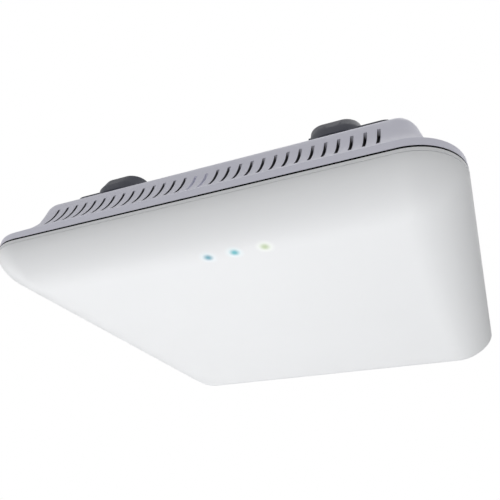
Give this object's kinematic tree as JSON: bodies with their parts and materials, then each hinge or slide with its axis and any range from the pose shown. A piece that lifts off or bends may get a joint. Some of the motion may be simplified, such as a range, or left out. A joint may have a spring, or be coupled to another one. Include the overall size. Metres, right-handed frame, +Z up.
{
  "type": "ceiling access point",
  "caption": "Square ceiling wireless access point: white curved cover, slotted grey base, port bay in the back, on a slide-on bracket with a release latch.",
  "frame": {"origin": "centre of the plane where the bracket's bosses meet the ceiling", "axes": "+Z up into the ceiling, -Y towards the side with the status lights, +X the way the body slides to unlock"},
  "size_m": [0.2, 0.2, 0.0562],
  "materials": {
    "cover_white": "fine satin moulded plastic",
    "base_grey": "fine textured moulded plastic",
    "gasket_black": "matt",
    "bracket_slate": "fine textured moulded plastic",
    "latch_black": "satin moulded plastic",
    "spring_steel": "bright strip",
    "screw_steel": "zinc plated",
    "label_white": "blank satin film",
    "board_green": "solder mask",
    "chip_black": "moulded epoxy",
    "pad_grey": "soft",
    "sink_aluminium": "extruded",
    "shield_tin": "tin plated",
    "can_aluminium": "bright can",
    "choke_grey": "pressed powder",
    "led_clear": "clear lens",
    "pipe_clear": "clear moulding",
    "mask_black": "foam",
    "jack_black": "moulded",
    "jack_steel": "nickel plated",
    "contact_gold": "gold flash",
    "antenna_brass": "tin plated strip",
    "coax_grey": "smooth jacket",
    "button_black": "satin"
  },
  "bodies": {
    "bracket": {"mount_bracket": "bracket_slate", "latch_pin": "screw_steel", "latch_spring": "spring_steel", "latch_spring_screw": "screw_steel"},
    "access_point": {"front_cover": "cover_white", "seam_gasket": "gasket_black", "base_housing": "base_grey", "port_bay_tub": "base_grey", "rating_label": "label_white", "lock_studs": "screw_steel", "case_screws": "screw_steel", "board_screws": "screw_steel", "main_board": "board_green", "processor_chip": "chip_black", "radio_chips": "chip_black", "memory_chips": "chip_black", "thermal_pads": "pad_grey", "heatsink": "sink_aluminium", "ethernet_transformers": "chip_black", "board_capacitors": "can_aluminium", "board_chokes": "choke_grey", "rf_shield_2g": "shield_tin", "rf_shield_5g": "shield_tin", "status_leds": "led_clear", "light_pipes": "pipe_clear", "led_mask": "mask_black", "poe_jack_shell": "jack_steel", "poe_jack_insert": "jack_black", "poe_jack_contacts": "contact_gold", "lan_jack_shell": "jack_steel", "lan_jack_insert": "jack_black", "lan_jack_contacts": "contact_gold", "dc_jack_housing": "jack_black", "dc_jack_pin": "jack_steel", "reset_switch": "jack_black", "coax_plugs": "contact_gold", "antenna_2g_1": "antenna_brass", "coax_2g_1": "coax_grey", "antenna_2g_2": "antenna_brass", "coax_2g_2": "coax_grey", "antenna_2g_3": "antenna_brass", "coax_2g_3": "coax_grey", "antenna_5g_1": "antenna_brass", "coax_5g_1": "coax_grey", "antenna_5g_2": "antenna_brass", "coax_5g_2": "coax_grey", "antenna_5g_3": "antenna_brass", "coax_5g_3": "coax_grey"},
    "latch": {"release_latch": "latch_black"},
    "reset_plunger": {"reset_button": "button_black"}
  },
  "joints": [
    {"name": "lock_slide", "type": "slide", "parent": "bracket", "child": "access_point", "axis": [1, 0, 0], "range_m": [0, 0.009]},
    {"name": "latch_pivot", "type": "hinge", "parent": "bracket", "child": "latch", "pos_m": [0, -0.02, -0.005], "axis": [-1, 0, 0], "range_deg": [0, 4.4], "stiffness_Nm_per_rad": 0.12, "springref_deg": -4.58, "deforming": ["latch_spring"]},
    {"name": "reset_press", "type": "slide", "parent": "access_point", "child": "reset_plunger", "axis": [0, -1, 0], "range_m": [0, 0.0005], "stiffness_N_per_m": 400, "springref_m": -0.0005}
  ],
  "couplings": [
    {"joint": "latch_pivot", "follows": "lock_slide", "rad_per_m": 8}
  ]
}
